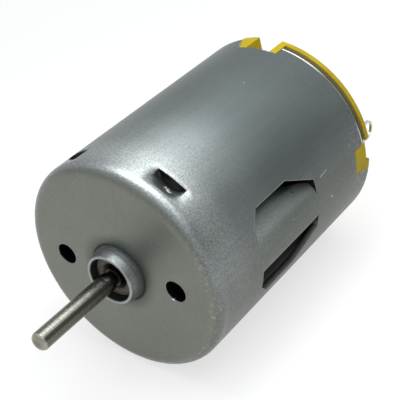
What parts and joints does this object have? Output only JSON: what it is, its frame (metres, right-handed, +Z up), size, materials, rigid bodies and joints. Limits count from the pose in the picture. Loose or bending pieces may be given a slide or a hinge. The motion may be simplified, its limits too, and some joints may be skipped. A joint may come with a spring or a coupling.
{
  "type": "brushed dc motor",
  "caption": "Small round can motor with a plain output shaft, screw holes beside its boss, a side window and a yellow end cap with solder terminals.",
  "frame": {"origin": "where the shaft line meets the front mounting face", "axes": "shaft along -Y, the two screw holes on X, the window on the +X side, +Z up"},
  "size_m": [0.0242, 0.0477, 0.0242],
  "materials": {
    "zinc_steel": "matt zinc plate on drawn steel",
    "ground_steel": "ground and polished",
    "yellow_nylon": "moulded, satin",
    "tinned_brass": "tinned",
    "spring_bronze": "rolled strip",
    "carbon": "pressed carbon, matt",
    "ferrite": "pressed and sintered, matt",
    "spring_steel": "oiled strip",
    "sintered_bronze": "porous, oil filled",
    "lamination_steel": "stacked sheet",
    "enamelled_copper": "enamelled wire",
    "commutator_copper": "turned copper",
    "dark_resin": "moulded resin",
    "green_resin": "moulded resin",
    "white_nylon": "stamped sheet"
  },
  "bodies": {
    "housing": {"can": "zinc_steel", "front_bearing": "sintered_bronze", "rear_bearing": "sintered_bronze", "end_cap": "yellow_nylon", "terminal_right": "tinned_brass", "terminal_left": "tinned_brass", "magnet_upper": "ferrite", "magnet_lower": "ferrite", "magnet_spring": "spring_steel", "brush_arm_right": "spring_bronze", "brush_arm_left": "spring_bronze", "carbon_brush_right": "carbon", "carbon_brush_left": "carbon"},
    "rotor": {"shaft": "ground_steel", "armature_core": "lamination_steel", "core_insulator_front": "green_resin", "core_insulator_rear": "green_resin", "coil_1": "enamelled_copper", "coil_2": "enamelled_copper", "coil_3": "enamelled_copper", "commutator_hub": "dark_resin", "commutator_ring": "dark_resin", "commutator_bar_1": "commutator_copper", "commutator_bar_2": "commutator_copper", "commutator_bar_3": "commutator_copper", "front_spacer": "white_nylon", "thrust_washers_front": "white_nylon", "thrust_washer_rear": "white_nylon"}
  },
  "joints": [
    {"name": "rotor_spin", "type": "hinge", "parent": "housing", "child": "rotor", "pos_m": [0, 0, 0], "axis": [0, -1, 0], "continuous": true}
  ]
}
